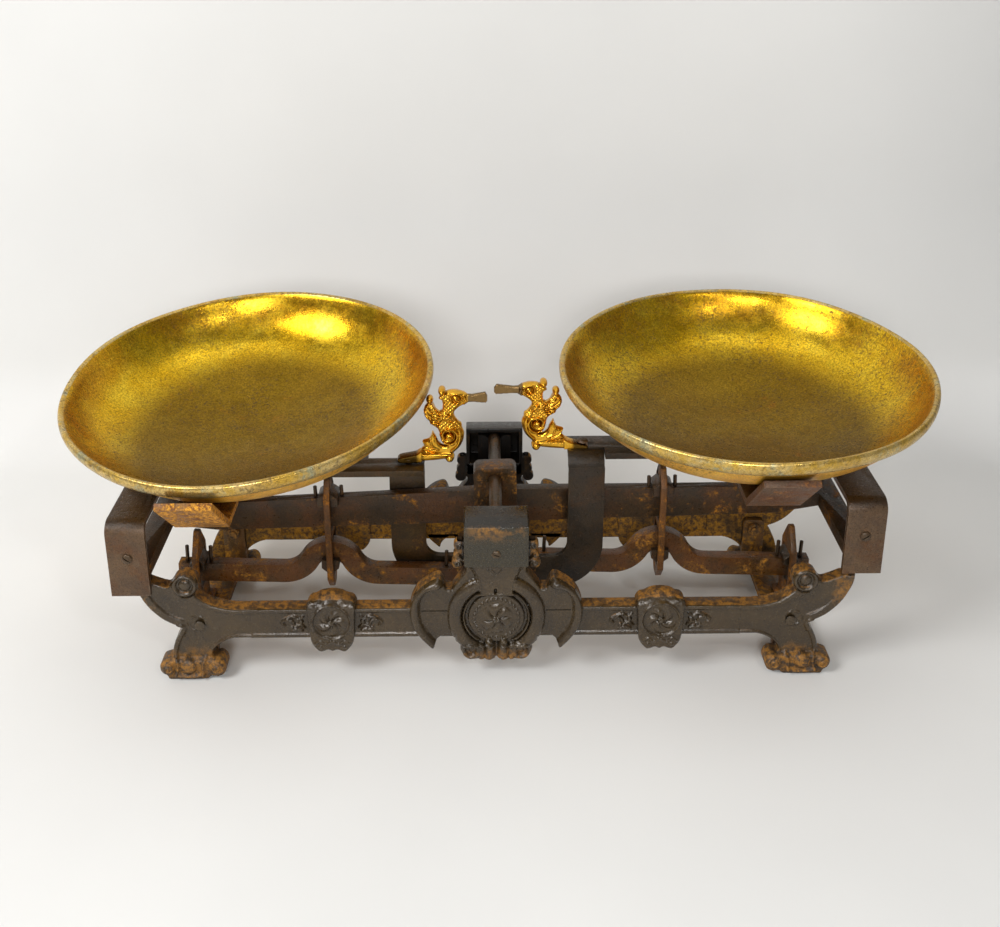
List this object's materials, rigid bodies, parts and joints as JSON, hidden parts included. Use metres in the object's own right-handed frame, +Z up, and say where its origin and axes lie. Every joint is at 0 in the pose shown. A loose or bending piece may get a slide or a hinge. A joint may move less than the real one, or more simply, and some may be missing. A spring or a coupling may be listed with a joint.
{
  "type": "balance scale",
  "caption": "Old two-pan counter balance with a cast iron scroll base, linked beam and levers, bird-head pointers and loose brass pans.",
  "frame": {"origin": "on the floor, under the middle of the whole scale's outline", "axes": "+X along the beam to the right pan, -Y towards the front, +Z up; the beam's middle plane is 22.5 mm in front of the origin, because both pans lean forward and reach further back"},
  "size_m": [0.6869, 0.3044, 0.2313],
  "materials": {
    "frame_paint": "worn dark grey green paint over cast iron, rusty on edges and feet",
    "rusty_iron": "rusty, dark brown with ochre patches",
    "rusty_steel": "aged, purplish brown and ochre",
    "bare_steel": "dull, slightly rusty",
    "gilt_brass": "bright, worn",
    "old_brass": "aged, spotted olive gold"
  },
  "bodies": {
    "base": {"front_frame": "frame_paint", "rear_frame": "frame_paint", "left_cross_member": "rusty_iron", "right_cross_member": "rusty_iron", "frame_bolts": "bare_steel", "left_fulcrum_post": "rusty_iron", "right_fulcrum_post": "rusty_iron", "centre_bearings": "bare_steel", "centre_bearing_screws": "bare_steel"},
    "main_beam": {"beam": "rusty_iron", "centre_knife": "bare_steel", "end_knives": "bare_steel", "link_knives": "bare_steel", "beam_pins": "bare_steel"},
    "left_hanger": {"left_link": "rusty_iron"},
    "right_hanger": {"right_link": "rusty_iron"},
    "left_auxiliary": {"left_lever": "rusty_iron", "left_lever_knives": "bare_steel", "left_lever_pins": "bare_steel"},
    "right_auxiliary": {"right_lever": "rusty_iron", "right_lever_knives": "bare_steel", "right_lever_pins": "bare_steel"},
    "left_carrier": {"left_carrier_bar": "rusty_steel", "left_cross_bar": "rusty_steel", "left_end_bracket": "rusty_steel", "left_end_bearings": "bare_steel", "left_bracket_screws": "bare_steel", "left_carrier_rivets": "bare_steel", "left_pointer": "gilt_brass"},
    "right_carrier": {"right_carrier_bar": "rusty_steel", "right_cross_bar": "rusty_steel", "right_end_bracket": "rusty_steel", "right_end_bearings": "bare_steel", "right_bracket_screws": "bare_steel", "right_carrier_rivets": "bare_steel", "right_pointer": "gilt_brass"},
    "left_bowl": {"left_pan": "old_brass"},
    "right_bowl": {"right_pan": "old_brass"}
  },
  "joints": [
    {"name": "beam_tilt", "type": "hinge", "parent": "base", "child": "main_beam", "pos_m": [0, -0.02248, 0.1285], "axis": [0, 1, 0], "range_deg": [-0.5, 3.5]},
    {"name": "left_carrier_turn", "type": "hinge", "parent": "main_beam", "child": "left_carrier", "pos_m": [-0.27251, -0.02248, 0.10636], "axis": [0, 1, 0], "range_deg": [-3.5, 0.5]},
    {"name": "left_link_turn", "type": "hinge", "parent": "main_beam", "child": "left_hanger", "pos_m": [-0.1339, -0.02248, 0.12349], "axis": [0, 1, 0], "range_deg": [-3.5, 0.5]},
    {"name": "left_lever_turn", "type": "hinge", "parent": "base", "child": "left_auxiliary", "pos_m": [-0.242, -0.02248, 0.063], "axis": [0, 1, 0], "range_deg": [-4.34, 0.62]},
    {"name": "left_pan_lift", "type": "slide", "parent": "left_carrier", "child": "left_bowl", "axis": [0, 0, 1], "range_m": [0, 0.05]},
    {"name": "right_carrier_turn", "type": "hinge", "parent": "main_beam", "child": "right_carrier", "pos_m": [0.2733, -0.02248, 0.12065], "axis": [0, 1, 0], "range_deg": [-3.5, 0.5]},
    {"name": "right_link_turn", "type": "hinge", "parent": "main_beam", "child": "right_hanger", "pos_m": [0.13398, -0.02248, 0.13051], "axis": [0, 1, 0], "range_deg": [-3.5, 0.5]},
    {"name": "right_lever_turn", "type": "hinge", "parent": "base", "child": "right_auxiliary", "pos_m": [0.242, -0.02248, 0.063], "axis": [0, 1, 0], "range_deg": [-4.34, 0.62]},
    {"name": "right_pan_lift", "type": "slide", "parent": "right_carrier", "child": "right_bowl", "axis": [0, 0, 1], "range_m": [0, 0.05]}
  ],
  "couplings": [
    {"joint": "left_carrier_turn", "follows": "beam_tilt", "ratio": -1},
    {"joint": "left_link_turn", "follows": "beam_tilt", "ratio": -1},
    {"joint": "left_lever_turn", "follows": "beam_tilt", "ratio": -1.2405},
    {"joint": "right_carrier_turn", "follows": "beam_tilt", "ratio": -1},
    {"joint": "right_link_turn", "follows": "beam_tilt", "ratio": -1},
    {"joint": "right_lever_turn", "follows": "beam_tilt", "ratio": -1.2405}
  ]
}
